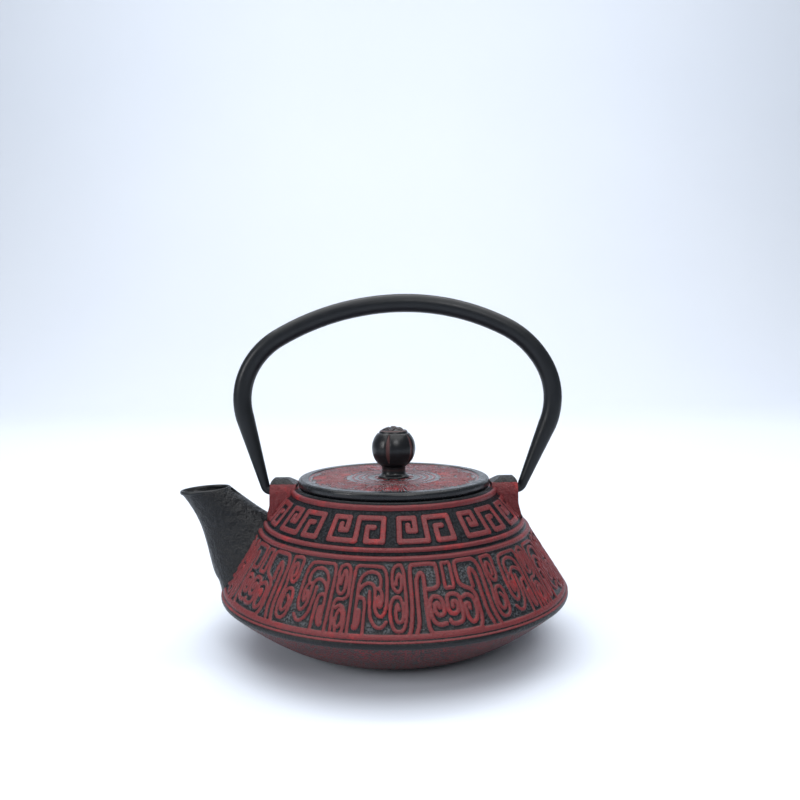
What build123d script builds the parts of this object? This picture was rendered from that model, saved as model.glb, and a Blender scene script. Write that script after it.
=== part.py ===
from build123d import *

import os
from math import cos, radians

# A cast iron teapot, in millimetres. +Z is up, the origin is the centre of the base on the table,
# and the spout points along -X. Seen from -Y, the bail handle is an arch from left to right.

# --- Driving dimensions -----------------------------------------------------------------------
# Pot shell: radii and heights of the outside profile, from the base up to the mouth.
BASE_RADIUS = 45.0
BOWL_PULL = (59.0, 3.0)  # control point of the curve from the base to the widest edge
EDGE_RADIUS, EDGE_HEIGHT = 82.5, 23.8  # the widest point, on a rounded band
EDGE_BOTTOM = (81.9, 22.5)
EDGE_TOP = (82.0, 25.0)
SHOULDER_FOOT = (81.0, 25.2)
SHOULDER_BREAK = (63.0, 53.2)  # where the steep lower band meets the flatter upper band
NECK_TOP = (46.1, 72.5)
WALL = 3.2
FLOOR = 3.4
MOUTH_RADIUS = 38.0
SEAT_RADIUS, SEAT_HEIGHT = 41.6, 71.0  # step in the mouth that the infuser hangs on
LIP_BOTTOM = 67.9

# Beads that run round the shoulder: radius of the circle they follow, height, bead radius.
BEADS = ((48.0, 70.6, 1.0), (61.25, 55.75, 0.95), (63.7, 52.85, 0.95))

# Spout, as ellipses: height, nose x, tail x, half width. The low tails lie inside the shell. All are
# level except the last, at the mouth, which dips a little towards the nose.
SPOUT_OUTSIDE = (
    (25.0, -83.2, -67.7, 19.0),
    (31.0, -86.4, -54.6, 18.8),
    (37.0, -88.5, -44.0, 17.8),
    (46.0, -90.8, -43.5, 14.2),
    (53.0, -92.9, -50.7, 11.5),
    (59.0, -95.5, -61.0, 10.2),
    (65.0, -99.0, -69.8, 9.7),
    (70.8, -102.8, -78.6, 9.6),
)
SPOUT_PASSAGE = (
    (31.0, -83.4, -51.6, 15.0),
    (37.0, -85.7, -45.0, 14.4),
    (46.0, -88.0, -44.3, 11.2),
    (53.0, -90.2, -53.4, 9.0),
    (59.0, -92.9, -64.6, 7.8),
    (65.0, -96.7, -73.2, 7.8),
    (71.4, -101.4, -80.0, 8.2),
)
MOUTH_DIP = 4.3

# Lugs: the two ears that the handle hooks into.
LUG_HALF_WIDTH = 8.0
LUG_TOP = 76.3
LUG_OUTLINE = (
    (46.6, 60.0),
    (46.6, 73.4),
    (51.2, LUG_TOP),
    (58.7, LUG_TOP),
    (59.0, 64.0),
    (61.6, 54.0),
)
LUG_ROUND = 2.6
HINGE_HEIGHT = 70.0
LUG_HOLE_RADIUS = 2.27
LUG_HOLE_BOTTOM = 51.0

# Handle: a bar bent into an arch, tapered and hooked inwards at both ends. The arch leans a little
# towards +X, as a bar bent by hand does, so each side has its own bends.
BAR_RADIUS = 4.35
HOOK_RADIUS = 2.2
APEX = (5.7, 159.25)
RIGHT_BENDS = ((106.5, 26.8), (43.9, 35.3), (33.4, 50.6))  # bend radius and angle, from the apex
LEFT_BENDS = ((119.8, 30.2), (35.9, 35.8), (32.0, 39.2))
HOOK_BEND_RADIUS = 3.0
HOOK_REACH = 7.2

# Lid: a flat disc with a rolled rim, and a skirt that locates it inside the infuser.
LID_RADIUS = 45.7
LID_RIM_TOP = 76.5
LID_FIELD_RADIUS = 41.3
LID_FIELD_HEIGHT = 75.6
LID_UNDERSIDE = 73.0
SKIRT_OUTER, SKIRT_INNER, SKIRT_BOTTOM = 35.5, 33.2, 66.5
LID_RIM_ROUND = 1.6

# Knob, with the washer and screw that hold it from under the lid.
BALL_RADIUS, BALL_HEIGHT = 10.5, 89.95
NECK_RADIUS, NECK_HEIGHT = 5.8, 78.4
KNOB_FOOT_RADIUS, KNOB_FOOT_THICKNESS = 7.3, 0.8
SCREW_RADIUS, SCREW_TIP = 2.0, 86.0
SCREW_HOLE_RADIUS = 2.3
TAPPED_HOLE_RADIUS, TAPPED_HOLE_TOP = 2.05, 87.0
WASHER_RADIUS, WASHER_THICKNESS = 5.0, 1.0
SCREW_HEAD_RADIUS, SCREW_HEAD_HEIGHT = 3.8, 2.4
SLOT_WIDTH, SLOT_DEPTH = 1.0, 1.2

# Infuser: a stainless basket of thin sheet that hangs in the mouth.
SHEET = 0.6
RIM_RADIUS = 41.2
COLLAR_RADIUS, COLLAR_BOTTOM = 37.5, 66.0
BASKET_RADIUS = 36.85
BASKET_BOTTOM = 29.0
FLOOR_LIP_HEIGHT = 3.0
SLOTS_ROUND = 30
SLOT_ROWS = (38.0, 48.5, 59.0)
BASKET_SLOT_WIDTH, BASKET_SLOT_LENGTH = 1.2, 8.0
FLOOR_HOLE_RADIUS = 1.0
FLOOR_HOLE_STEP, FLOOR_HOLE_RINGS = 6.0, 5


def spout_loft(sections):
    """Lofts ellipses, given by where they begin and end along X and by their half width."""
    with BuildPart() as spout:
        for height, nose, tail, half_width in sections:
            dip = MOUTH_DIP if height == sections[-1][0] else 0
            middle = Plane(((nose + tail) / 2, 0, height)).rotated((0, -dip, 0))
            with BuildSketch(middle):
                Ellipse((tail - nose) / 2, half_width)
        loft()
    return spout.part


# --- Pot body: shell, spout and lugs in one casting ---------------------------------------------
spout_outside = spout_loft(SPOUT_OUTSIDE)
spout_passage = spout_loft(SPOUT_PASSAGE)

with BuildPart() as lug:
    with BuildSketch(Plane.XZ):
        with BuildLine():
            Polyline(*LUG_OUTLINE, close=True)
        make_face()
    extrude(amount=LUG_HALF_WIDTH, both=True)
    fillet(lug.edges().filter_by(Axis.Y).group_by(Axis.Z)[-1], LUG_ROUND)
    with BuildSketch(Plane.YZ):
        with Locations((0, LUG_TOP - LUG_HALF_WIDTH)):
            Circle(LUG_HALF_WIDTH)
            Rectangle(2 * LUG_HALF_WIDTH, LUG_TOP, align=(Align.CENTER, Align.MAX))
    extrude(amount=EDGE_RADIUS, mode=Mode.INTERSECT)

with BuildPart() as pot_body:
    with BuildSketch(Plane.XZ):
        with BuildLine():
            Line((0, 0), (BASE_RADIUS, 0))
            Bezier((BASE_RADIUS, 0), BOWL_PULL, EDGE_BOTTOM)
            ThreePointArc(EDGE_BOTTOM, (EDGE_RADIUS, EDGE_HEIGHT), EDGE_TOP)
            Polyline(
                EDGE_TOP,
                SHOULDER_FOOT,
                SHOULDER_BREAK,
                NECK_TOP,
                (0, NECK_TOP[1]),
                (0, 0),
            )
        make_face()
        for bead_circle, bead_height, bead_radius in BEADS:
            with Locations((bead_circle, bead_height)):
                Circle(bead_radius)
    revolve(axis=Axis.Z)
    add(spout_outside)
    add(lug.part)
    add(lug.part.mirror(Plane.YZ))
    # The hollow follows the outside, one wall thickness in, up to the underside of the lip.
    hollow_edge = (EDGE_RADIUS - 1.2 * WALL, EDGE_HEIGHT)
    with BuildSketch(Plane.XZ):
        with BuildLine():
            Line((0, FLOOR), (BASE_RADIUS - WALL / 2, FLOOR))
            Bezier(
                (BASE_RADIUS - WALL / 2, FLOOR),
                (BOWL_PULL[0] - WALL / 2, BOWL_PULL[1] + WALL),
                hollow_edge,
            )
            Polyline(
                hollow_edge,
                (SHOULDER_BREAK[0] - 0.9 * WALL, SHOULDER_BREAK[1] - 0.5 * WALL),
                (NECK_TOP[0], LIP_BOTTOM),
                (0, LIP_BOTTOM),
                (0, FLOOR),
            )
        make_face()
    revolve(axis=Axis.Z, mode=Mode.SUBTRACT)
    with BuildSketch(Plane.XY.offset(LIP_BOTTOM - WALL)):
        Circle(MOUTH_RADIUS)
    extrude(amount=2 * WALL + LIP_BOTTOM, mode=Mode.SUBTRACT)
    with BuildSketch(Plane.XY.offset(SEAT_HEIGHT)):
        Circle(SEAT_RADIUS)
    extrude(amount=WALL, mode=Mode.SUBTRACT)
    add(spout_passage, mode=Mode.SUBTRACT)
    # Blind holes in the outer faces of the lugs, for the hooks of the handle.
    for side in (-1, 1):
        with BuildSketch(Plane.YZ.offset(side * LUG_HOLE_BOTTOM)):
            with Locations((0, HINGE_HEIGHT)):
                Circle(LUG_HOLE_RADIUS)
        extrude(amount=side * (EDGE_RADIUS - LUG_HOLE_BOTTOM), mode=Mode.SUBTRACT)

# --- Handle -----------------------------------------------------------------------------------
with BuildPart() as handle:
    for side, bends in ((1, RIGHT_BENDS), (-1, LEFT_BENDS)):
        with BuildLine(Plane.XZ) as arch_line:
            start, heading = APEX, (side, 0)
            for bend_radius, bend_angle in bends:
                bend = JernArc(start, heading, bend_radius, -side * bend_angle)
                start, heading = bend @ 1, bend % 1
        with BuildSketch(Plane(origin=(APEX[0], 0, APEX[1]), z_dir=(side, 0, 0))):
            Circle(BAR_RADIUS)
        sweep(path=arch_line.wire())
        # From the last bend a straight taper runs down to the hook, which turns level and inwards.
        arch_end = arch_line.wire().position_at(1)
        arch_heading = arch_line.wire().tangent_at(1)
        hook_turn = 180 - sum(angle for _, angle in bends)
        hook_drop = HOOK_BEND_RADIUS * (1 - cos(radians(hook_turn)))
        taper_length = (arch_end.Z - HINGE_HEIGHT - hook_drop) / -arch_heading.Z
        taper_end = arch_end + arch_heading * taper_length
        with BuildSketch(Plane(origin=arch_end, z_dir=arch_heading)):
            Circle(BAR_RADIUS)
        with BuildSketch(Plane(origin=taper_end, z_dir=arch_heading)):
            Circle(HOOK_RADIUS)
        loft()
        with BuildLine(Plane.XZ) as hook_line:
            hook_bend = JernArc(
                (taper_end.X, taper_end.Z),
                (arch_heading.X, arch_heading.Z),
                HOOK_BEND_RADIUS,
                -side * hook_turn,
            )
            Line(hook_bend @ 1, (hook_bend @ 1) - (side * HOOK_REACH, 0, 0))
        with BuildSketch(Plane(origin=taper_end, z_dir=arch_heading)):
            Circle(HOOK_RADIUS)
        sweep(path=hook_line.wire())

# --- Lid --------------------------------------------------------------------------------------
with BuildPart() as lid:
    with BuildSketch(Plane.XZ):
        with BuildLine():
            Polyline(
                (SCREW_HOLE_RADIUS, LID_UNDERSIDE),
                (SKIRT_INNER, LID_UNDERSIDE),
                (SKIRT_INNER, SKIRT_BOTTOM),
                (SKIRT_OUTER, SKIRT_BOTTOM),
                (SKIRT_OUTER, NECK_TOP[1]),
                (LID_RADIUS, NECK_TOP[1]),
                (LID_RADIUS, LID_RIM_TOP),
                (LID_FIELD_RADIUS, LID_RIM_TOP),
                (LID_FIELD_RADIUS - 1, LID_FIELD_HEIGHT),
                (SCREW_HOLE_RADIUS, LID_FIELD_HEIGHT),
                close=True,
            )
        make_face()
    revolve(axis=Axis.Z)
    rim_edges = lid.edges().filter_by(GeomType.CIRCLE).filter_by(lambda e: e.radius > LID_RADIUS - 0.1)
    fillet(rim_edges, LID_RIM_ROUND)

# --- Knob and its fixing ------------------------------------------------------------------------
with BuildPart() as knob:
    with BuildSketch(Plane.XZ):
        with BuildLine():
            Line((0, LID_FIELD_HEIGHT), (KNOB_FOOT_RADIUS, LID_FIELD_HEIGHT))
            foot_top = (KNOB_FOOT_RADIUS, LID_FIELD_HEIGHT + KNOB_FOOT_THICKNESS)
            Line((KNOB_FOOT_RADIUS, LID_FIELD_HEIGHT), foot_top)
            Spline(foot_top, (NECK_RADIUS, NECK_HEIGHT), tangents=((-1, 0.2), (0, 1)))
            Polyline((NECK_RADIUS, NECK_HEIGHT), (NECK_RADIUS, BALL_HEIGHT), (0, BALL_HEIGHT))
            Line((0, BALL_HEIGHT), (0, LID_FIELD_HEIGHT))
        make_face()
    revolve(axis=Axis.Z)
    with Locations((0, 0, BALL_HEIGHT)):
        Sphere(BALL_RADIUS)
    with BuildSketch(Plane.XY.offset(LID_FIELD_HEIGHT)):
        Circle(TAPPED_HOLE_RADIUS)
    extrude(amount=TAPPED_HOLE_TOP - LID_FIELD_HEIGHT, mode=Mode.SUBTRACT)

with BuildPart() as knob_washer:
    with BuildSketch(Plane.XY.offset(LID_UNDERSIDE)):
        Circle(WASHER_RADIUS)
        Circle(SCREW_HOLE_RADIUS, mode=Mode.SUBTRACT)
    extrude(amount=-WASHER_THICKNESS)

with BuildPart() as knob_screw:
    head_top = LID_UNDERSIDE - WASHER_THICKNESS
    with BuildSketch(Plane.XY.offset(head_top)):
        Circle(SCREW_HEAD_RADIUS)
    extrude(amount=-SCREW_HEAD_HEIGHT)
    fillet(knob_screw.edges().group_by(Axis.Z)[0], SCREW_HEAD_HEIGHT / 2)
    with BuildSketch(Plane.XY.offset(head_top)):
        Circle(SCREW_RADIUS)
    extrude(amount=SCREW_TIP - head_top)
    with BuildSketch(Plane.XY.offset(head_top - SCREW_HEAD_HEIGHT)):
        Rectangle(2 * SCREW_HEAD_RADIUS, SLOT_WIDTH)
    extrude(amount=SLOT_DEPTH, mode=Mode.SUBTRACT)

# --- Infuser basket -----------------------------------------------------------------------------
with BuildPart() as infuser_rim:
    with BuildSketch(Plane.XZ):
        with BuildLine():
            Polyline(
                (COLLAR_RADIUS - SHEET, COLLAR_BOTTOM),
                (COLLAR_RADIUS, COLLAR_BOTTOM),
                (COLLAR_RADIUS, SEAT_HEIGHT),
                (RIM_RADIUS, SEAT_HEIGHT),
                (RIM_RADIUS, SEAT_HEIGHT + SHEET),
                (COLLAR_RADIUS - SHEET, SEAT_HEIGHT + SHEET),
                close=True,
            )
        make_face()
    revolve(axis=Axis.Z)

with BuildPart() as infuser_wall:
    with BuildSketch(Plane.XY.offset(BASKET_BOTTOM)):
        Circle(BASKET_RADIUS)
        Circle(BASKET_RADIUS - SHEET, mode=Mode.SUBTRACT)
    extrude(amount=SEAT_HEIGHT - BASKET_BOTTOM)
    for row_height in SLOT_ROWS:
        with PolarLocations(0, SLOTS_ROUND):
            with Locations((BASKET_RADIUS, 0, row_height)):
                Box(4 * SHEET, BASKET_SLOT_WIDTH, BASKET_SLOT_LENGTH, mode=Mode.SUBTRACT)

with BuildPart() as infuser_floor:
    floor_radius = BASKET_RADIUS - SHEET - 0.05
    with BuildSketch(Plane.XY.offset(BASKET_BOTTOM)):
        Circle(floor_radius)
    extrude(amount=FLOOR_LIP_HEIGHT)
    with BuildSketch(Plane.XY.offset(BASKET_BOTTOM + SHEET)):
        Circle(floor_radius - SHEET)
    extrude(amount=FLOOR_LIP_HEIGHT, mode=Mode.SUBTRACT)
    with BuildSketch(Plane.XY.offset(BASKET_BOTTOM)):
        Circle(FLOOR_HOLE_RADIUS)
        for ring in range(1, FLOOR_HOLE_RINGS + 1):
            with PolarLocations(ring * FLOOR_HOLE_STEP, 6 * ring):
                Circle(FLOOR_HOLE_RADIUS)
    extrude(amount=SHEET, mode=Mode.SUBTRACT)

# --- One file for each piece --------------------------------------------------------------------
pieces = {
    "pot_body": pot_body,
    "handle": handle,
    "lid": lid,
    "knob": knob,
    "knob_washer": knob_washer,
    "knob_screw": knob_screw,
    "infuser_rim": infuser_rim,
    "infuser_wall": infuser_wall,
    "infuser_floor": infuser_floor,
}
os.makedirs("parts", exist_ok=True)
for name, piece in pieces.items():
    piece.part.label = name
    export_step(piece.part, f"parts/{name}.step")
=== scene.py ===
from math import cos, pi, radians, sin

import bpy
import numpy as np
from mathutils import Euler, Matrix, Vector


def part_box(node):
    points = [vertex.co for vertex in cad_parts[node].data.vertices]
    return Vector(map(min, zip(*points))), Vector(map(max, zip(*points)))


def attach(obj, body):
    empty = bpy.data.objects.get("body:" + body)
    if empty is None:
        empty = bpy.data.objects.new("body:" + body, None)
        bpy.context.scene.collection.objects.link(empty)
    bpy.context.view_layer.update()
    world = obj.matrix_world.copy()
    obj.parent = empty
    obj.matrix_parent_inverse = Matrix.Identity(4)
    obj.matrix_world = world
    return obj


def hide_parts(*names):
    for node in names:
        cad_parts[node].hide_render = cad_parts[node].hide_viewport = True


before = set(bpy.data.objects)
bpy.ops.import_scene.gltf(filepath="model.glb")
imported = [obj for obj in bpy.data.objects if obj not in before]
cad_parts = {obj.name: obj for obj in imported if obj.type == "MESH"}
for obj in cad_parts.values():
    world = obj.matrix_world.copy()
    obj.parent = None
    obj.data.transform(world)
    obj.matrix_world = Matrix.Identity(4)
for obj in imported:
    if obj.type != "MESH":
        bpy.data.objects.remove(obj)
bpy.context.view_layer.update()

# The looks of a cast iron teapot: the cast relief on its shoulder and lid, its knob, the rubbed red
# finish over black iron, and the stage. Shapes are worked out in millimetres, and turned into metres
# when a mesh is made. Azimuths are in degrees from the front, -Y, and grow towards +X. A slant is a
# distance down the shoulder's profile.

MM = 0.001


def box_mm(node):
    """The lowest and highest corners of a CAD node, in millimetres."""
    low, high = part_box(node)
    return [c / MM for c in low], [c / MM for c in high]


# --- Shapes that the relief follows -------------------------------------------------------------
# Corners of the shoulder at the tops of its relief: radius and height.
SHOULDER = ((46.5, 73.5), (62.6, 55.3), (64.6, 52.8), (82.5, 24.8))
BEND_REACH = 2.0  # how far from a corner the shoulder's direction begins to turn
RELIEF_TOP = 1.25  # slant where the relief begins, above its first ring
SCROLL_BAND_START = 27.5  # slant from the first corner to the third
RELIEF_END = 60.5  # slant where the relief ends, over the widest edge
RELIEF_DEPTH = 0.8
SKIN_THICKNESS = 0.7
RING_PAINT = (0.05, 0.4)  # heights of a ring where its paint begins and is full
FINE_UNEVENNESS, BROAD_UNEVENNESS = 0.05, 0.07  # of the casting's skin
FINE_CELL = 3  # grid steps between the highs and lows of the fine unevenness
# Rings that run round the shoulder: slant down from the first corner, depth of centre, radius.
RINGS = ((3.3, 0.8, 1.3), (23.07, 0.72, 1.08), (26.9, 0.68, 1.08))
BAND_SPLIT = 25.0  # slant of the groove between the two rings, where the upper relief ends

# Spout, as ellipses: height, nose x, tail x, half width. The last one, the mouth, dips to the nose.
SPOUT = (
    (25.0, -83.2, -67.7, 19.0),
    (31.0, -86.4, -54.6, 18.8),
    (37.0, -88.5, -44.0, 17.8),
    (46.0, -90.8, -43.5, 14.2),
    (53.0, -92.9, -50.7, 11.5),
    (59.0, -95.5, -61.0, 10.2),
    (65.0, -99.0, -69.8, 9.7),
    (70.8, -102.8, -78.6, 9.6),
)
MOUTH_DIP = radians(4.3)
SPOUT_WALL = 1.4
SPOUT_OVERLAP = 0.8  # how far the relief runs into the spout

# --- Ornament, as centre lines ------------------------------------------------------------------
# Each point is an azimuth in degrees and a slant distance in millimetres down its own band.
KEY_PERIOD = 30.0
KEY_REPEATS = 12
KEY_WIDTH = 2.3
KEY_FOOT, KEY_STRETCH = 20.2, 1.04  # the lines are drawn a little short, and grow from their foot
KEY_LINES = (
    ((6, 12.0), (6, 14.6), (9.1, 14.6), (9.1, 8.8), (2.1, 8.8), (2.1, 19.2), (13.8, 19.2),
     (13.8, 8.7), (25.2, 8.7), (25.2, 19.2), (18.3, 19.2), (18.3, 12.9), (21.2, 12.9)),
)

SCROLL_PERIOD = 72.0
SCROLL_REPEATS = 5
SCROLL_START = -33.0
EDGE_RIDGE_START = (29.0, 29.9)  # where the plain ridge over the edge rises, in the lines' own slant
EDGE_GROOVE, EDGE_GROOVE_WIDTH = 31.7, 0.4
SCROLL_FOOT, SCROLL_STRETCH = 29.8, 1.07
WIDE, NARROW = 1.75, 1.42
MASK_PANEL = (
    (WIDE, ((4.0, 29.5), (4.6, 27), (5.2, 20), (5.2, 6.5), (5.7, 4.1), (7, 3.75), (13.2, 3.75),
            (14.4, 4.8), (14.5, 10.5), (13.9, 12.5), (12.5, 13.2), (10, 13.3))),
    (WIDE, ((6.2, 29), (7.0, 25), (7.1, 12), (7.4, 9), (8.6, 7.0), (9.6, 8.2), (9.7, 12), (9.6, 20),
            (9.7, 26), (10.3, 28.9), (12, 29.8), (24.2, 29.8), (25.6, 28.6), (26.4, 26), (26.6, 20),
            (26.3, 17), (25.2, 15), (23.5, 13.9), (22.2, 12.8), (21.5, 11), (21.4, 5.5), (22, 3.9),
            (24, 3.5), (28, 3.5), (29.6, 4.3), (30.6, 6.5), (31, 10), (31, 20), (31.3, 25),
            (32.3, 29.5))),
    (WIDE, ((26.4, 14), (26.3, 9.5), (26.9, 7.3), (28, 8.3), (28.7, 11), (28.8, 20), (29, 24.5),
            (29.9, 28.5))),
    (NARROW, ((18.1, 3.9), (16.7, 4.0), (16.6, 8.6), (16.7, 13.2), (18.1, 13.3), (19.5, 13.2),
              (19.6, 8.6), (19.5, 4.0), (18.1, 3.9))),
    (WIDE, ((15, 26.4), (13, 26.6), (11.4, 25.2), (10.8, 22), (10.8, 18.6), (11.7, 16.5),
            (13.2, 16.3), (14.5, 17.4), (15, 20), (14.8, 22.4), (13.7, 23.3), (12.6, 22.7),
            (12.1, 21), (12.3, 19.2), (13.2, 18.8), (13.6, 20.5))),
    (WIDE, ((16.3, 25.4), (17, 26.6), (19.3, 26.5), (20.4, 25), (20.7, 21), (20.5, 17.5),
            (19.6, 16.1), (17.5, 15.9), (16.5, 17), (16.3, 20), (16.6, 22.4), (17.8, 23.1),
            (19.2, 22.4), (19.5, 20.3), (19, 18.8), (18, 18.8), (17.8, 20.5))),
    (WIDE, ((21.6, 17.6), (23, 16.8), (24.6, 17.6), (25.3, 19.5), (25.4, 23), (24.6, 26),
            (23.2, 27), (22.2, 25.5), (21.9, 23), (21.9, 20.4), (23.2, 20.2), (23.3, 22))),
)
RIGHT_COLUMN = (
    (NARROW, ((32.7, 3.6), (37, 3.8), (37.2, 8), (37, 11.5), (35.9, 13.6), (34.6, 12.6),
              (33.9, 9.5), (34.2, 6.6), (35, 6.2), (35.7, 7.8), (35.7, 10.3), (35.4, 11.2))),
    (NARROW, ((32.7, 3.6), (32.8, 10), (33.3, 15), (32.9, 19), (32.9, 23), (33.6, 26.5),
              (35.2, 27.5), (36.8, 26.3), (37.5, 23), (37.6, 19.5), (37, 16.6), (35.6, 15.9),
              (34.4, 17), (34, 20), (34.2, 23.5), (35.2, 24.7), (36.3, 23.3), (36.5, 20.5),
              (35.6, 18.8))),
)
LEFT_COLUMN = (
    (NARROW, ((2.2, 3.9), (1, 3.9), (-0.3, 5), (-0.9, 8), (-0.7, 11.5), (0.3, 13.5), (1.4, 13.8),
              (2.1, 12), (2.1, 8.5), (1.3, 7.2), (0.6, 9.2), (0.5, 11.2))),
    (NARROW, ((2.2, 3.9), (3, 6.5), (3.3, 11.5), (3.5, 17.2), (3.4, 22.9), (2.6, 27.2), (1, 28.4),
              (-0.5, 27.2), (-1.4, 22.9), (-1.3, 18.6), (-0.2, 16.1), (1.5, 16.1), (2.3, 18.6),
              (2.5, 22.3), (1.8, 24.9), (0.6, 24.6), (0.2, 21.2), (0.7, 18.6), (1.2, 20.5))),
)
HOOD_PANEL = (
    (NARROW, ((-20.6, 29.5), (-20.6, 12), (-20.9, 6), (-21.8, 4.3), (-24, 4.2), (-29.3, 4.4),
              (-31, 5.6), (-31.8, 9), (-31.9, 16), (-31.5, 20.5), (-30.4, 22.9), (-29.2, 22.4),
              (-28.3, 20), (-28.1, 16), (-28, 13), (-27.3, 11.3), (-26, 10.7), (-24.4, 11.3),
              (-23, 13.2), (-22.5, 16), (-22.4, 26.5))),
    (NARROW, ((-29.8, 12), (-29.8, 9.5), (-29, 7.4), (-27.5, 6.5), (-25.7, 6.5), (-23.8, 7.8),
              (-22.7, 10.5), (-22.4, 14))),
    (NARROW, ((-28, 12.6), (-29.5, 12.9), (-30.4, 15.2), (-30.2, 18.6), (-29.6, 19.4),
              (-29.1, 17.2), (-29.3, 15.8))),
    (NARROW, ((-26.3, 13.8), (-26.5, 18), (-26.9, 22.5), (-27.7, 25), (-29, 26.8),
              (-30.5, 26.8), (-31.8, 25))),
    (NARROW, ((-22.8, 16.2), (-24.2, 16.3), (-24.9, 17.5), (-25.1, 21), (-25.1, 29.8))),
    (2 * NARROW, ((-23.2, 21.5), (-23.2, 25), (-22.7, 26.8))),
)
HOOD_MIRROR = -17.2  # azimuth about which the second hood panel mirrors the first
MIDDLE_COLUMN = (
    (NARROW, ((-18.9, 4.9), (-17, 4), (-15.6, 5.2), (-15.2, 7.5), (-15, 13), (-15.2, 16),
              (-16.5, 17.2), (-18.5, 17.5), (-19.2, 20), (-19, 25.8), (-18.8, 28.7))),
    (NARROW, ((-18.9, 4.9), (-19.3, 7.5), (-19, 10), (-19, 12.9), (-18.3, 14.9), (-17.3, 15.2),
              (-16.5, 13.8), (-16.4, 10), (-16.7, 6.9), (-17.4, 6.6), (-17.8, 8.6), (-18, 11.5))),
    (NARROW, ((-18.5, 20.6), (-17, 19.5), (-15.6, 21.2), (-15.2, 24), (-15.2, 28), (-15.6, 29.3))),
    (NARROW, ((-17.3, 28.7), (-17.9, 25.8), (-17.5, 22.4), (-16.8, 21.2), (-16, 22.4),
              (-16, 25.8), (-16.8, 27.5))),
)


def mirrored(lines, azimuth):
    """The same lines, mirrored about an azimuth."""
    return tuple((width, tuple((2 * azimuth - a, s) for a, s in points)) for width, points in lines)


SCROLL_LINES = (
    MASK_PANEL + RIGHT_COLUMN + LEFT_COLUMN + MIDDLE_COLUMN
    + HOOD_PANEL + mirrored(HOOD_PANEL, HOOD_MIRROR)
)


# --- Relief -------------------------------------------------------------------------------------
# How far a ridge's flat top and its foot reach from its centre line, as shares of the width
# that ridge() is given: the whole width of a stroke or of the key, the half width of a ring.
STROKE_PROFILE = (0.36, 0.6)
KEY_PROFILE = (0.38, 0.62)
LID_RING_PROFILE = (0.5, 1.1)


def smooth(low, high, value):
    """0 below low, 1 above high, and an S-curve between them."""
    t = np.clip((value - low) / (high - low), 0, 1)
    return t * t * (3 - 2 * t)


def rounded_line(points, steps=5):
    """A Catmull-Rom curve through the points."""
    p = np.array(points, float)
    p = np.vstack([2 * p[0] - p[1], p, 2 * p[-1] - p[-2]])
    t = np.linspace(0, 1, steps, endpoint=False)[:, None]
    curve = []
    for a, b, c, d in zip(p, p[1:], p[2:], p[3:]):
        curve.append(0.5 * (2 * b + (c - a) * t + (2 * a - 5 * b + 4 * c - d) * t ** 2
                            + (3 * b - a - 3 * c + d) * t ** 3))
    return np.vstack(curve + [p[-2:-1]])


def crosses(line, azimuth, margin=2):
    """Whether a line comes within a margin, in degrees, of a stretch of azimuths."""
    return line[:, 0].min() < azimuth[-1] + margin and line[:, 0].max() > azimuth[0] - margin


def distance_to_line(azimuth, slant, radius, points):
    """Distance in millimetres from each grid point to a line of (azimuth, slant) points."""
    scale = np.radians(1) * radius
    nearest = np.full(azimuth.shape, 1e3)
    for (a0, s0), (a1, s1) in zip(points, points[1:]):
        along, down = (a1 - a0) * scale, s1 - s0
        dx, dy = (azimuth - a0) * scale, slant - s0
        t = np.clip((dx * along + dy * down) / (along ** 2 + down ** 2), 0, 1)
        nearest = np.minimum(nearest, np.hypot(dx - t * along, dy - t * down))
    return nearest


def ridge(distance, width, profile=STROKE_PROFILE):
    """A ridge, 1 along its centre line and 0 beyond its foot."""
    top, foot = profile
    return 1 - smooth(top * width, foot * width, distance)


def grooves(height, reach):
    """How far each grid point of a ring lies below its surroundings: high in narrow gaps, which the
    materials darken as painted shade.
    """
    around = height.copy()
    for step in range(1, reach + 1):
        around += np.roll(height, step, axis=1) + np.roll(height, -step, axis=1)
    around /= 2 * reach + 1
    padded = np.pad(around, ((reach, reach), (0, 0)), mode="edge")
    around = sum(padded[k:k + len(height)] for k in range(2 * reach + 1)) / (2 * reach + 1)
    return np.clip(around - height, 0, 1)


def grid_noise(rows, columns, cell, seed):
    """Smooth noise from -1 to 1 that closes on itself round the columns."""
    rng = np.random.default_rng(seed)
    coarse = rng.uniform(-1, 1, (int(rows / cell) + 3, max(3, round(columns / cell))))
    y = np.arange(rows) / cell
    x = np.arange(columns) * coarse.shape[1] / columns
    y0, x0 = y.astype(int), x.astype(int)
    ty, tx = smooth(0, 1, y - y0)[:, None], smooth(0, 1, x - x0)[None, :]
    x1 = (x0 + 1) % coarse.shape[1]
    top = coarse[np.ix_(y0, x0)] * (1 - tx) + coarse[np.ix_(y0, x1)] * tx
    low = coarse[np.ix_(y0 + 1, x0)] * (1 - tx) + coarse[np.ix_(y0 + 1, x1)] * tx
    return top * (1 - ty) + low * ty


def inside_spout(points, clearance):
    """Which points, in millimetres, lie inside the spout by at least the clearance."""
    sections = np.array(SPOUT)
    x, y, z = points[:, 0], points[:, 1], points[:, 2]
    nose, tail, half_width = (np.interp(z, sections[:, 0], sections[:, k]) for k in (1, 2, 3))
    reach = ((x - (nose + tail) / 2) / ((tail - nose) / 2 - clearance)) ** 2
    reach += (y / (half_width - clearance)) ** 2
    return (reach < 1) & (z > sections[0, 0]) & (z < sections[-1, 0])


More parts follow.
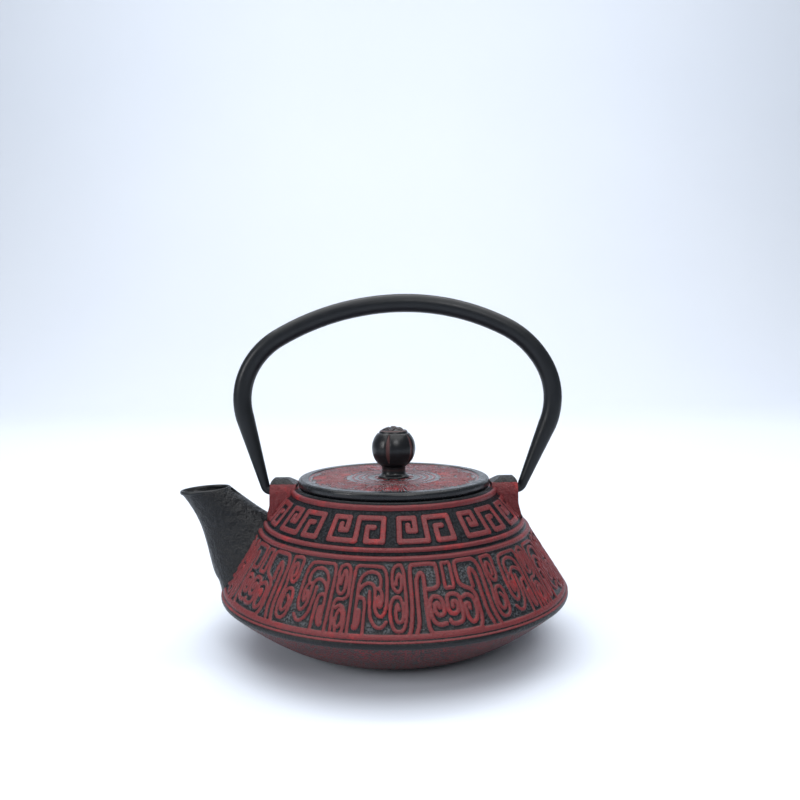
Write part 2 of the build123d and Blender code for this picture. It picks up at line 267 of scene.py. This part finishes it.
# --- Meshes -------------------------------------------------------------------------------------
def new_object(name, points, faces, material, slot, body, **fields):
    """Makes a smooth object from points in millimetres, and sets it on its CAD body.

    Each field is a number for every point, which the material reads by its name."""
    mesh = bpy.data.meshes.new(name)
    mesh.from_pydata((np.asarray(points) * MM).tolist(), [], faces)
    mesh.polygons.foreach_set("use_smooth", [True] * len(mesh.polygons))
    for field, values in fields.items():
        mesh.attributes.new(field, "FLOAT", "POINT").data.foreach_set("value", np.ravel(values))
    mesh.materials.append(material)
    mesh.update()
    piece = bpy.data.objects.new(name, mesh)
    bpy.context.scene.collection.objects.link(piece)
    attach(piece, body)
    return piece


def ring_faces(rows, columns, close_rows=False):
    """Quads of a grid whose columns close on themselves, and whose rows may too."""
    row = np.arange(rows if close_rows else rows - 1)[:, None]
    column = np.arange(columns)[None, :]
    below, beside = (row + 1) % rows, (column + 1) % columns
    corners = (row * columns + column, below * columns + column,
               below * columns + beside, row * columns + beside)
    return np.stack([np.broadcast_to(c, (row.shape[0], columns)) for c in corners], -1).reshape(-1, 4)


def shoulder_line(slant):
    """Radius, height and outward normal of the shoulder at a slant distance from its top corner."""
    corners = np.array(SHOULDER)
    legs = np.diff(corners, axis=0)
    lengths = np.hypot(legs[:, 0], legs[:, 1])
    stations = np.concatenate([[0], np.cumsum(lengths)])
    radius = np.interp(slant, stations, corners[:, 0])
    height = np.interp(slant, stations, corners[:, 1])
    turns = np.arctan2(-legs[:, 1], legs[:, 0])
    middles = (stations[:-1] + stations[1:]) / 2
    keys = [stations[0], stations[1] - BEND_REACH, middles[1], stations[2] + BEND_REACH, stations[3]]
    turn = np.interp(slant, keys, [turns[0], turns[0], turns[1], turns[2], turns[2]])
    return radius, height, np.sin(turn), np.cos(turn)


def shoulder_skin(name, slant, height, paint, material):
    """A closed band of the shoulder: the relief in front, and a plain back inside the casting."""
    rows, columns = height.shape
    azimuth = radians(SCROLL_START) + np.arange(columns) * 2 * pi / columns
    radius, level, out_r, out_z = (v[:, None] for v in shoulder_line(slant))
    offset = height - RELIEF_DEPTH
    back = np.full((1, columns), -RELIEF_DEPTH - SKIN_THICKNESS)
    r = np.vstack([radius + out_r * offset]
                  + [radius[end] + out_r[end] * back for end in (-1, 0)])
    z = np.vstack([level + out_z * offset]
                  + [level[end] + out_z[end] * back for end in (-1, 0)])
    points = np.stack([r * np.sin(azimuth), -r * np.cos(azimuth), z], -1).reshape(-1, 3)
    faces = ring_faces(rows + 2, columns, close_rows=True)
    plain = np.zeros((2, columns))
    # The groove field: narrow gaps, which the material darkens as painted shade.
    groove = np.vstack([grooves(height / RELIEF_DEPTH, 3), plain])
    paint = np.vstack([paint, plain])
    cut = inside_spout(points, clearance=SPOUT_OVERLAP)
    faces = faces[~cut[faces].all(axis=1)]
    used = np.unique(faces)
    place = np.zeros(len(points), int)
    place[used] = np.arange(len(used))
    return new_object(name, points[used], place[faces].tolist(), material, "pot_iron", "pot",
                      paint=paint.reshape(-1)[used], groove=groove.reshape(-1)[used])


def ring_height(slant):
    """Height of the rings over the floor of the relief."""
    height = np.full(slant.shape, -1.0)
    for centre, depth, radius in RINGS:
        arc = radius ** 2 - (slant - centre) ** 2
        height = np.maximum(height, np.where(arc > 0, np.sqrt(np.maximum(arc, 0)) - depth
                                             + RELIEF_DEPTH, -1))
    return height


def cast(pattern, rings, broad_cell, seeds):
    """The height in millimetres and the paint of a pattern and its rings, with a slightly uneven skin."""
    paint = np.maximum(pattern, smooth(*RING_PAINT, rings))
    height = np.maximum(np.maximum(pattern * RELIEF_DEPTH, rings), 0)
    height = height + FINE_UNEVENNESS * grid_noise(*height.shape, FINE_CELL, seed=seeds[0])
    height += BROAD_UNEVENNESS * grid_noise(*height.shape, broad_cell, seed=seeds[1])
    return height, paint


def key_band(material):
    """The upper band: collar ring, Greek key, and the first of the two rings below it."""
    rows, unit = 66, 100
    slant = np.linspace(RELIEF_TOP, BAND_SPLIT, rows)
    azimuth = np.arange(unit) * KEY_PERIOD / unit
    s, a = np.meshgrid(KEY_FOOT - (KEY_FOOT - slant) / KEY_STRETCH, azimuth, indexing="ij")
    radius = shoulder_line(slant)[0][:, None]
    height = np.zeros_like(s)
    for points in KEY_LINES:
        near = distance_to_line(a, s, radius, points)
        height = np.maximum(height, ridge(near, KEY_WIDTH, KEY_PROFILE))
    height = np.tile(height, (1, KEY_REPEATS))
    height = np.roll(height, round(-SCROLL_START / KEY_PERIOD * unit), axis=1)
    height, paint = cast(height, ring_height(slant)[:, None], broad_cell=14, seeds=(1, 2))
    return shoulder_skin("key_band_relief", slant, height, paint, material)


def scroll_band(material):
    """The lower band: the second ring, the scroll frieze, and the ridges over the edge."""
    rows, unit = 82, 240
    slant = np.linspace(BAND_SPLIT, RELIEF_END, rows)
    azimuth = SCROLL_START + np.arange(unit) * SCROLL_PERIOD / unit
    down = SCROLL_FOOT - (SCROLL_FOOT - (slant - SCROLL_BAND_START)) / SCROLL_STRETCH
    s, a = np.meshgrid(down, azimuth, indexing="ij")
    radius = shoulder_line(slant)[0][:, None]
    height = np.zeros_like(s)
    for width, points in SCROLL_LINES:
        line = rounded_line(points)
        for shift in (-SCROLL_PERIOD, 0, SCROLL_PERIOD):
            if crosses(line, azimuth - shift):
                near = distance_to_line(a - shift, s, radius, line)
                height = np.maximum(height, ridge(near, width))
    groove = np.exp(-((s - EDGE_GROOVE) / EDGE_GROOVE_WIDTH) ** 2)
    height = np.maximum(height, smooth(*EDGE_RIDGE_START, s) * (1 - 0.8 * groove))
    height = np.tile(height, (1, SCROLL_REPEATS))
    height, paint = cast(height, ring_height(slant)[:, None], broad_cell=16, seeds=(3, 4))
    return shoulder_skin("scroll_band_relief", slant, height, paint, material)


# --- Lid ----------------------------------------------------------------------------------------
LID_RELIEF_OUTER, LID_RELIEF_INNER = 41.6, 6.0  # radii
LID_SCROLL_OUTER, LID_SCROLL_INNER = 39.2, 20.5
SCROLL_DEPTH = 30.0  # slant that the lines of the frieze cover
LID_LINE_SHARE = 0.66  # how wide the lid's lines are, against the shoulder's, once shrunk
LID_GROUND, LID_RISE = 0.12, 0.3  # heights over the CAD lid
LID_EDGE_DROP, LID_BACK_DROP = 0.4, 0.8  # depths into the CAD lid
LID_RINGS = ((40.8, 0.9), (19.6, 0.8), (16.4, 0.8), (13.4, 0.8))  # radius, half width
LID_PETALS = 5
LID_PETAL_ENDS = (8.6, 10.4)  # radii between which the petals round the knob fade out
LID_UNEVENNESS = 0.03


def lid_relief(material):
    """The ornament on the lid, a disc with a hole for the knob, closed by a back inside the lid."""
    field_top = box_mm("knob")[0][2]
    rows, unit = 88, 144
    radius = np.linspace(LID_RELIEF_OUTER, LID_RELIEF_INNER, rows)
    azimuth = SCROLL_START + np.arange(unit) * SCROLL_PERIOD / unit
    r, a = np.meshgrid(radius, azimuth, indexing="ij")
    # The frieze of the shoulder, shrunk onto the lid, with its foot outwards.
    shrink = (LID_SCROLL_OUTER - LID_SCROLL_INNER) / SCROLL_DEPTH
    slant = (r - LID_SCROLL_INNER) / shrink
    height = np.zeros_like(r)
    for width, points in SCROLL_LINES:
        line = rounded_line(points, steps=3)
        for shift in (-SCROLL_PERIOD, 0, SCROLL_PERIOD):
            if crosses(line, azimuth - shift):
                near = distance_to_line(a - shift, slant, r / shrink, line) * shrink
                height = np.maximum(height, ridge(near, LID_LINE_SHARE * shrink * width))
    for ring, half in LID_RINGS:
        height = np.maximum(height, ridge(np.abs(r - ring), half, LID_RING_PROFILE))
    petal = np.abs(np.cos(np.radians(a) * LID_PETALS))
    height = np.maximum(height, (1 - smooth(*LID_PETAL_ENDS, r)) * smooth(0.25, 0.5, petal))
    height = np.tile(height, (1, SCROLL_REPEATS))
    rows_all, columns = height.shape
    # The groove field: narrow gaps, which the material darkens as painted shade.
    groove = grooves(height, 2)
    lift = LID_GROUND + LID_RISE * height
    lift += LID_UNEVENNESS * grid_noise(rows_all, columns, FINE_CELL, seed=5)
    lift[0, :] = -LID_EDGE_DROP
    turn = radians(SCROLL_START) + np.arange(columns) * 2 * pi / columns
    r_all = np.vstack([np.repeat(radius[:, None], columns, 1),
                       np.full((1, columns), LID_RELIEF_INNER),
                       np.full((1, columns), LID_RELIEF_OUTER)])
    z_all = np.vstack([field_top + lift, np.full((2, columns), field_top - LID_BACK_DROP)])
    points = np.stack([r_all * np.sin(turn), -r_all * np.cos(turn), z_all], -1).reshape(-1, 3)
    faces = ring_faces(rows_all + 2, columns, close_rows=True)[:, ::-1]
    plain = np.zeros((2, columns))
    return new_object("lid_relief", points, faces.tolist(), material, "lid_iron", "lid",
                      paint=np.vstack([height, plain]), groove=np.vstack([groove, plain]))


# --- Knob ---------------------------------------------------------------------------------------
FLUTES = 5
FLUTE_AZIMUTH = -16.0
FLUTE_MIDDLE, FLUTE_REACH = 88.0, 47.0  # degrees down from the top, and to either side of that
FLUTE_HALF_WIDTH, FLUTE_DEPTH = 1.35, 0.5
CROWN_EDGE, CROWN_GROOVE = 36.0, 43.0  # degrees down from the top
PETAL_MIDDLE, PETAL_SWING = 23.0, 7.0
CROWN_LINE_WIDTH, PETAL_LINE_WIDTH, GROOVE_WIDTH = 3.2, 3.6, 2.5
CROWN_SINK, CROWN_RISE, GROOVE_DEPTH = 0.45, 0.6, 0.3
WAIST_RADIUS, WAIST_PINCH = 5.8, 0.15
FOOT_FLARE, FOOT_RADIUS, FOOT_END_RADIUS = 1.75, 7.45, 7.3
FOOT_TOP, FOOT_SIDE, FOOT_END = 0.7, 0.25, -0.3  # heights over the lid


def knob_ball(ball_r, tilt, turn):
    """Radius and paint of the ball at each tilt from its top and each turn, in radians."""
    t, a = np.meshgrid(tilt, turn, indexing="ij")
    down = np.degrees(t)
    petal_turn = np.degrees(a) - FLUTE_AZIMUTH
    spacing = 360 / FLUTES
    from_flute = np.abs((petal_turn + spacing / 2) % spacing - spacing / 2)
    # A flute is lens-shaped: widest at the middle of the ball, and gone before the crown.
    lens = np.clip(1 - ((t - radians(FLUTE_MIDDLE)) / radians(FLUTE_REACH)) ** 2, 0, 1)
    across = from_flute * np.radians(1) * ball_r * np.sin(t)
    edge = across / (FLUTE_HALF_WIDTH * np.maximum(lens, 0.05))
    flute = (1 - smooth(0.45, 1.15, edge)) * (lens > 0)
    # The crown: an edge ring, petals inside it and a pip at the top, on a slightly sunk disc.
    edge_ring = np.exp(-((down - CROWN_EDGE) / CROWN_LINE_WIDTH) ** 2)
    petal_line = PETAL_MIDDLE + PETAL_SWING * np.cos(np.radians(petal_turn) * FLUTES)
    petal = np.exp(-((down - petal_line) / PETAL_LINE_WIDTH) ** 2)
    pip = 1 - smooth(4, 10, down)
    crown = np.maximum(np.maximum(edge_ring, 0.8 * petal), pip)
    disc = 1 - smooth(30, 40, down)
    groove = np.exp(-((down - CROWN_GROOVE) / GROOVE_WIDTH) ** 2)
    radius = ball_r - FLUTE_DEPTH * flute * smooth(0, 0.4, lens) - GROOVE_DEPTH * groove
    radius = radius - CROWN_SINK * disc + CROWN_RISE * crown * (down < 50)
    radius = np.minimum(radius, ball_r + 0.1)
    return radius, np.maximum(0.8 * flute * smooth(0, 0.3, lens), 0.75 * crown * (down < 45))


def knob_piece(material):
    """The knob: a fluted ball with a small flower on its crown, on a waist and a flared foot."""
    low, high = box_mm("knob")
    foot_z, top_z = low[2], high[2]
    ball_r = (high[0] - low[0]) / 2
    ball_z = top_z - ball_r
    columns = 240
    turn = np.arange(columns) * 2 * pi / columns
    tilt = np.linspace(0.01, pi - np.arcsin(WAIST_RADIUS / ball_r), 130)
    r_ball, paint = knob_ball(ball_r, tilt, turn)
    ring_r = r_ball * np.sin(tilt)[:, None]
    ring_z = ball_z + r_ball * np.cos(tilt)[:, None]
    # From the waist down to the foot, whose underside is just inside the lid.
    waist_z = ball_z + ball_r * cos(tilt[-1])
    drop = np.linspace(0, 1, 22)[1:]
    low_z = waist_z + (foot_z + FOOT_TOP - waist_z) * drop
    low_r = WAIST_RADIUS - WAIST_PINCH * np.sin(pi * np.clip(drop * 1.6, 0, 1))
    low_r = low_r + FOOT_FLARE * smooth(0.55, 1.0, drop) ** 1.5
    low_r = np.append(low_r, [FOOT_RADIUS, FOOT_END_RADIUS])
    low_z = np.append(low_z, [foot_z + FOOT_SIDE, foot_z + FOOT_END])
    ring_r = np.vstack([ring_r, np.repeat(low_r[:, None], columns, 1)])
    ring_z = np.vstack([ring_z, np.repeat(low_z[:, None], columns, 1)])
    band = np.concatenate([0.5 * np.sin(pi * np.clip(drop * 1.7, 0, 1)), [0, 0]])
    paint = np.vstack([paint, np.repeat(band[:, None], columns, 1)])
    points = np.stack([ring_r * np.sin(turn), -ring_r * np.cos(turn), ring_z], -1).reshape(-1, 3)
    faces = ring_faces(ring_r.shape[0], columns)[:, ::-1].tolist()
    faces.append(list(range(columns)))
    faces.append(list(range(len(points) - columns, len(points)))[::-1])
    piece = new_object("knob_fluted", points, faces, material, "knob_iron", "lid", paint=paint)
    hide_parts("knob")
    return piece


# --- Spout lip ----------------------------------------------------------------------------------
LIP_PROUD, LIP_RISE, LIP_SINK = 0.02, 0.95, 0.35  # beyond the wall, up from its middle, that middle down


def spout_lip(material):
    """The rounded rim round the mouth of the spout, a little prouder than the wall."""
    height, nose, tail, half_width = SPOUT[-1]
    columns, around = 120, 20
    turn = np.arange(columns) * 2 * pi / columns
    roll = np.arange(around) * 2 * pi / around
    length, width = (tail - nose) / 2 - SPOUT_WALL / 2, half_width - SPOUT_WALL / 2
    t, b = np.meshgrid(turn, roll, indexing="ij")
    out = np.stack([np.cos(t) / length, np.sin(t) / width], -1)
    out /= np.linalg.norm(out, axis=-1, keepdims=True)
    reach = SPOUT_WALL / 2 + LIP_PROUD
    along = length * np.cos(t) + out[..., 0] * reach * np.cos(b)
    y = width * np.sin(t) + out[..., 1] * reach * np.cos(b)
    up = LIP_RISE * np.sin(b) - LIP_SINK
    x = (nose + tail) / 2 + along * cos(MOUTH_DIP) - up * sin(MOUTH_DIP)
    z = height + along * sin(MOUTH_DIP) + up * cos(MOUTH_DIP)
    points = np.stack([x, y, z], -1).reshape(-1, 3)
    faces = ring_faces(columns, around, close_rows=True)
    return new_object("spout_lip", points, faces.tolist(), material, "pot_iron", "pot")


# --- Materials ----------------------------------------------------------------------------------
BLACK = (0.005, 0.006, 0.008, 1)
SOFT_BLACK = (0.010, 0.012, 0.015, 1)
# The next three colours are painted sheen: grey specks on the black ground of the relief that stand in
# for light caught by its satin hollows. The lid's is a painted reflection of the bright backdrop.
RECESS_SHEEN = (0.018, 0.020, 0.024, 1)
SHEEN = (0.055, 0.060, 0.068, 1)
LID_SHEEN = (0.14, 0.15, 0.165, 1)
RED = (0.145, 0.018, 0.021, 1)
BRIGHT_RED = (0.30, 0.016, 0.018, 1)
DULL_RED = (0.055, 0.020, 0.023, 1)
BROWN_RED = (0.075, 0.026, 0.026, 1)
DARK_STEEL, LIGHT_STEEL = (0.52, 0.53, 0.54, 1), (0.62, 0.62, 0.61, 1)
DARK_PAPER, LIGHT_PAPER = (0.66, 0.71, 0.80, 1), (0.69, 0.74, 0.82, 1)


class Recipe:
    """One material's node tree, with short calls to add nodes."""

    def __init__(self, name):
        self.material = bpy.data.materials.new(name)
        self.material.use_nodes = True
        self.tree = self.material.node_tree
        self.shader = self.tree.nodes["Principled BSDF"]
        self.place = self.add("ShaderNodeTexCoord").outputs["Object"]

    def add(self, kind, inputs=None, **settings):
        made = self.tree.nodes.new(kind)
        for key, value in settings.items():
            setattr(made, key, value)
        for key, value in (inputs or {}).items():
            self.put(made.inputs[key], value)
        return made

    def put(self, socket, value):
        if isinstance(value, bpy.types.NodeSocket):
            self.tree.links.new(value, socket)
        else:
            socket.default_value = value

    def field(self, name):
        """A number that the mesh holds for each of its points."""
        return self.add("ShaderNodeAttribute", attribute_name=name).outputs["Fac"]

    def noise(self, size, detail=3, stretch=(1, 1, 1)):
        """Noise from 0 to 1 whose features are about size millimetres wide."""
        place = self.add("ShaderNodeMapping", {"Vector": self.place, "Scale": stretch}).outputs[0]
        made = self.add("ShaderNodeTexNoise", {"Vector": place, "Scale": 1 / (size * MM),
                                               "Detail": detail})
        return made.outputs["Fac"]

    def pebbles(self, size):
        """Distance to the nearest of many scattered points: 0 at each point."""
        made = self.add("ShaderNodeTexVoronoi", {"Vector": self.place, "Scale": 1 / (size * MM)})
        return made.outputs["Distance"]

    def math(self, operation, a, b):
        return self.add("ShaderNodeMath", {0: a, 1: b}, operation=operation).outputs[0]

    def shake(self, value, noise, amount):
        """The value plus an amount of noise, which is taken as centred on a half."""
        centred = self.math("SUBTRACT", noise, 0.5)
        return self.math("ADD", value, self.math("MULTIPLY", centred, amount))

    def step(self, value, low, high, to_low=0.0, to_high=1.0):
        """An S-curve of the value from low to high."""
        made = self.add("ShaderNodeMapRange", {"Value": value, "From Min": low, "From Max": high,
                                               "To Min": to_low, "To Max": to_high},
                        interpolation_type="SMOOTHSTEP")
        return made.outputs["Result"]

    def mix(self, factor, a, b):
        made = self.add("ShaderNodeMix", data_type="RGBA")
        self.put(made.inputs[0], factor)
        self.put(made.inputs[6], a)
        self.put(made.inputs[7], b)
        return made.outputs[2]

    def bump(self, height, distance, strength=1.0, normal=None):
        inputs = {"Height": height, "Distance": distance * MM, "Strength": strength}
        if normal is not None:
            inputs["Normal"] = normal
        return self.add("ShaderNodeBump", inputs).outputs["Normal"]

    def finish(self, **sockets):
        for key, value in sockets.items():
            self.put(self.shader.inputs[key.replace("_", " ")], value)
        return self.material


def rubbed_red(recipe, mask, groove=0.0, gloss=0.0, recess=RECESS_SHEEN, shade=1.0):
    """Red wiped over black: colour, roughness and a grain normal, from a mask of the high parts.

    The black ground shows the recess colour in specks, a painted sheen, and painted shade of plain black
    in the narrow grooves, as strong as the shade argument."""
    patches = recipe.noise(9, detail=4)
    grain = recipe.noise(0.8, detail=2)
    fine = recipe.noise(0.4, detail=2)
    worn = recipe.shake(mask, grain, 0.5)
    worn = recipe.shake(worn, patches, 0.2)
    paint = recipe.step(worn, 0.38, 0.58)
    red = recipe.mix(recipe.step(patches, 0.54, 0.76), RED, BRIGHT_RED)
    red = recipe.mix(recipe.step(fine, 0.38, 0.72, 0.0, 0.6), red, DULL_RED)
    # Painted sheen: specks of the recess colour on the black ground.
    dark = recipe.mix(recipe.step(grain, 0.42, 0.62), BLACK, recess)
    # Painted shade: the narrow grooves darken towards plain black, by the shade share.
    dark = recipe.mix(recipe.step(groove, 0.12, 0.45, 0, shade), dark, BLACK)
    colour = recipe.mix(paint, dark, red)
    rough = recipe.step(paint, 0, 1, 0.36 - gloss, 0.48 - gloss)
    normal = recipe.bump(grain, 0.35, 0.7)
    normal = recipe.bump(fine, 0.12, 0.5, normal)
    return colour, rough, normal


def relief_material(name, gloss, specular, recess_specular, recess=RECESS_SHEEN, shade=1.0):
    """Rubbed red on the high parts of a relief, whose mesh says how high and how narrow each place is;
    narrow places get painted shade, and the recess colour is a painted sheen.
    """
    recipe = Recipe(name)
    mask = recipe.field("paint")
    groove = recipe.field("groove")
    colour, rough, normal = rubbed_red(recipe, mask, groove, gloss, recess, shade)
    shine = recipe.step(mask, 0.3, 0.7, recess_specular, specular)
    return recipe.finish(Base_Color=colour, Roughness=rough, Normal=normal,
                         Specular_IOR_Level=shine)


# Where the red is on the casting itself, in millimetres: the bowl under the edge, and the lugs' faces.
BOWL_TOP = (22.6, 21.9)
LUG_REACH = ((44, 45), (60.5, 59.6))  # along X, from the axis
LUG_SIDE = (9.5, 9.0)
LUG_FRONT = (2.0, 4.0)
LUG_HEIGHTS = ((50, 55), (74.6, 73.0))
SPOUT_SKIN_START = (26.5, 28)


def body_material(name):
    """The casting itself: black spout, rim and lug tops; red lug faces; stippled bowl below."""
    recipe = Recipe(name)
    split = recipe.add("ShaderNodeSeparateXYZ", {0: recipe.place})
    x, y, z = split.outputs

    def between(value, bounds):
        """0 at the first bound and 1 at the second, which are in millimetres."""
        return recipe.step(value, bounds[0] * MM, bounds[1] * MM)

    reach = recipe.math("ABSOLUTE", x, 0)
    beside = recipe.math("ABSOLUTE", y, 0)
    bowl = between(z, BOWL_TOP)
    lug = between(beside, LUG_SIDE)
    limits = [(reach, bounds) for bounds in LUG_REACH] + [(z, bounds) for bounds in LUG_HEIGHTS]
    for value, bounds in limits + [(beside, LUG_FRONT)]:
        lug = recipe.math("MULTIPLY", lug, between(value, bounds))
    stipple = recipe.step(recipe.pebbles(1.0), 0.75, 0.2)
    bowl_mask = recipe.math("MULTIPLY", bowl, recipe.step(stipple, 0, 1, 0.25, 0.75))
    mask = recipe.math("MAXIMUM", bowl_mask, recipe.math("MULTIPLY", lug, 0.9))
    colour, rough, normal = rubbed_red(recipe, mask, recess=BLACK)
    leather = recipe.math("MULTIPLY", recipe.noise(3.2, detail=4), between(z, SPOUT_SKIN_START))
    normal = recipe.bump(leather, 1.6, 0.8, normal)
    pits = recipe.bump(recipe.math("MULTIPLY", stipple, bowl), 0.25, 0.6, normal)
    return recipe.finish(Base_Color=colour, Roughness=rough, Normal=pits, Specular_IOR_Level=0.28)


def black_material(name, roughness, grain_size, grain_depth, specular=0.3):
    """Painted black iron with a faint cast skin."""
    recipe = Recipe(name)
    cloud = recipe.noise(14, detail=4)
    grain = recipe.noise(grain_size, detail=3)
    colour = recipe.mix(cloud, BLACK, SOFT_BLACK)
    rough = recipe.step(recipe.noise(5), 0.3, 0.7, roughness - 0.05, roughness + 0.06)
    normal = recipe.bump(grain, grain_depth, 0.5)
    return recipe.finish(Base_Color=colour, Roughness=rough, Normal=normal,
                         Specular_IOR_Level=specular)


def lid_material(name):
    """The lid under its ornament: glossy black rim and underside."""
    return black_material(name, 0.28, 1.2, 0.12, specular=0.35)


def knob_material(name):
    """Black with brown-red rubbed into the flutes, the crown and the waist."""
    recipe = Recipe(name)
    mask = recipe.field("paint")
    grain = recipe.noise(0.5, detail=2)
    worn = recipe.shake(mask, grain, 0.6)
    paint = recipe.step(worn, 0.35, 0.75, 0.0, 0.8)
    colour = recipe.mix(paint, BLACK, BROWN_RED)
    rough = recipe.step(paint, 0, 1, 0.3, 0.5)
    normal = recipe.bump(recipe.noise(1.4), 0.08, 0.5)
    return recipe.finish(Base_Color=colour, Roughness=rough, Normal=normal, Specular_IOR_Level=0.35)


def steel_material(name):
    """Brushed stainless sheet."""
    recipe = Recipe(name)
    lines = recipe.noise(0.25, detail=2, stretch=(1, 1, 0.05))
    rough = recipe.step(lines, 0.3, 0.7, 0.22, 0.36)
    colour = recipe.mix(recipe.noise(12), DARK_STEEL, LIGHT_STEEL)
    normal = recipe.bump(lines, 0.02, 0.4)
    return recipe.finish(Base_Color=colour, Metallic=1.0, Roughness=rough, Normal=normal)


def repaint(nodes, material):
    """Gives CAD nodes a material in place of their own."""
    for node in nodes:
        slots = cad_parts[node].data.materials
        slots.clear()
        slots.append(material)


iron = relief_material("rubbed_red_iron", gloss=0.06, specular=0.28, recess_specular=0.08)
repaint(["pot_body"], body_material("cast_body_iron"))
repaint(["handle"], black_material("handle_black", 0.36, 2.5, 0.1, specular=0.25))
repaint(["lid"], lid_material("lid_black"))
repaint(["knob_washer", "knob_screw", "infuser_rim", "infuser_wall", "infuser_floor"],
        steel_material("brushed_steel"))
# The key band: painted shade in its narrow grooves, and faint painted sheen in the specks of its black
# ground.
key_band(iron)
# The frieze's recess colour is a painted sheen. The lid's is a painted reflection of the backdrop, with
# faint painted shade in its grooves.
scroll_band(relief_material("rubbed_red_frieze", gloss=0.04, specular=0.3,
                            recess=SHEEN, recess_specular=0.25))
lid_relief(relief_material("rubbed_red_lid", gloss=0.16, specular=0.5, recess=LID_SHEEN,
                           shade=0.2, recess_specular=0.5))
knob_piece(knob_material("knob_black"))
spout_lip(black_material("spout_lip_black", 0.35, 1.2, 0.15))


# --- Stage --------------------------------------------------------------------------------------
# In metres and watts. Each light has a name, a place, a target, a size and a power.
LIGHTS = (
    ("top_light", (0, 0.0, 1.5), (0, 0, 0.05), (2.4, 2.0), 36),
    ("window_light", (0.35, -1.3, 1.1), (0, 0, 0.07), (0.6, 0.6), 8),
    ("left_light", (-1.2, -0.7, 0.6), (0, 0, 0.07), (0.5, 0.6), 7),
    ("backdrop_light", (0, 0.9, 1.9), (0, 2.0, 0.7), (3.0, 0.8), 26),
)
AMBIENT_COLOUR, AMBIENT_STRENGTH = (0.92, 0.97, 1.0, 1), 0.25
CAMERA_PLACE = (0, -0.3777, 0.1388)
CAMERA_PITCH, CAMERA_YAW, CAMERA_ROLL = radians(-3.9), radians(0.5), radians(-0.5)
SENSOR_WIDTH, FOCAL_LENGTH = 36, 35.55  # millimetres


def floor_sweep():
    """A pale floor that curves up into a backdrop, in metres."""
    width, front, depth, rise, bend, steps = 6.0, -3.0, 2.2, 3.0, 1.0, 12
    profile = [(front, 0.0), (depth - bend, 0.0)]
    for k in range(1, steps + 1):
        angle = k * pi / 2 / steps
        profile.append((depth - bend + bend * sin(angle), bend - bend * cos(angle)))
    profile.append((depth, rise))
    points = [(side * width / 2, y, z) for y, z in profile for side in (-1, 1)]
    mesh = bpy.data.meshes.new("floor_sweep")
    faces = [(2 * k, 2 * k + 1, 2 * k + 3, 2 * k + 2) for k in range(len(profile) - 1)]
    mesh.from_pydata(points, [], faces)
    mesh.polygons.foreach_set("use_smooth", [True] * len(faces))
    recipe = Recipe("pale_paper")
    tint = recipe.mix(recipe.noise(400), DARK_PAPER, LIGHT_PAPER)
    mesh.materials.append(recipe.finish(Base_Color=tint, Roughness=0.55))
    floor = bpy.data.objects.new("floor_sweep", mesh)
    bpy.context.scene.collection.objects.link(floor)


def soft_light(name, place, target, size, power):
    """A flat lamp that faces its target: places and size in metres, power in watts."""
    light = bpy.data.lights.new(name, "AREA")
    light.shape = "RECTANGLE"
    light.size, light.size_y = size
    light.energy = power
    lamp = bpy.data.objects.new(name, light)
    lamp.location = place
    lamp.rotation_euler = (Vector(target) - Vector(place)).to_track_quat("-Z", "Y").to_euler()
    bpy.context.scene.collection.objects.link(lamp)


def camera():
    """The camera, in front of the pot and a little above its lid."""
    view = bpy.data.cameras.new("camera")
    view.sensor_width = SENSOR_WIDTH
    view.lens = FOCAL_LENGTH
    view.clip_start = 0.01
    eye = bpy.data.objects.new("camera", view)
    eye.location = CAMERA_PLACE
    look = Euler((pi / 2 + CAMERA_PITCH, 0, -CAMERA_YAW), "XYZ").to_matrix()
    eye.rotation_euler = (look @ Euler((0, 0, CAMERA_ROLL), "XYZ").to_matrix()).to_euler()
    bpy.context.scene.collection.objects.link(eye)
    bpy.context.scene.camera = eye


def surroundings():
    """An even, faintly blue light from all round."""
    world = bpy.data.worlds.new("studio")
    world.use_nodes = True
    background = world.node_tree.nodes["Background"].inputs
    background["Color"].default_value = AMBIENT_COLOUR
    background["Strength"].default_value = AMBIENT_STRENGTH
    bpy.context.scene.world = world


bpy.context.scene.view_settings.view_transform = "Standard"
surroundings()
floor_sweep()
for lamp_settings in LIGHTS:
    soft_light(*lamp_settings)
camera()
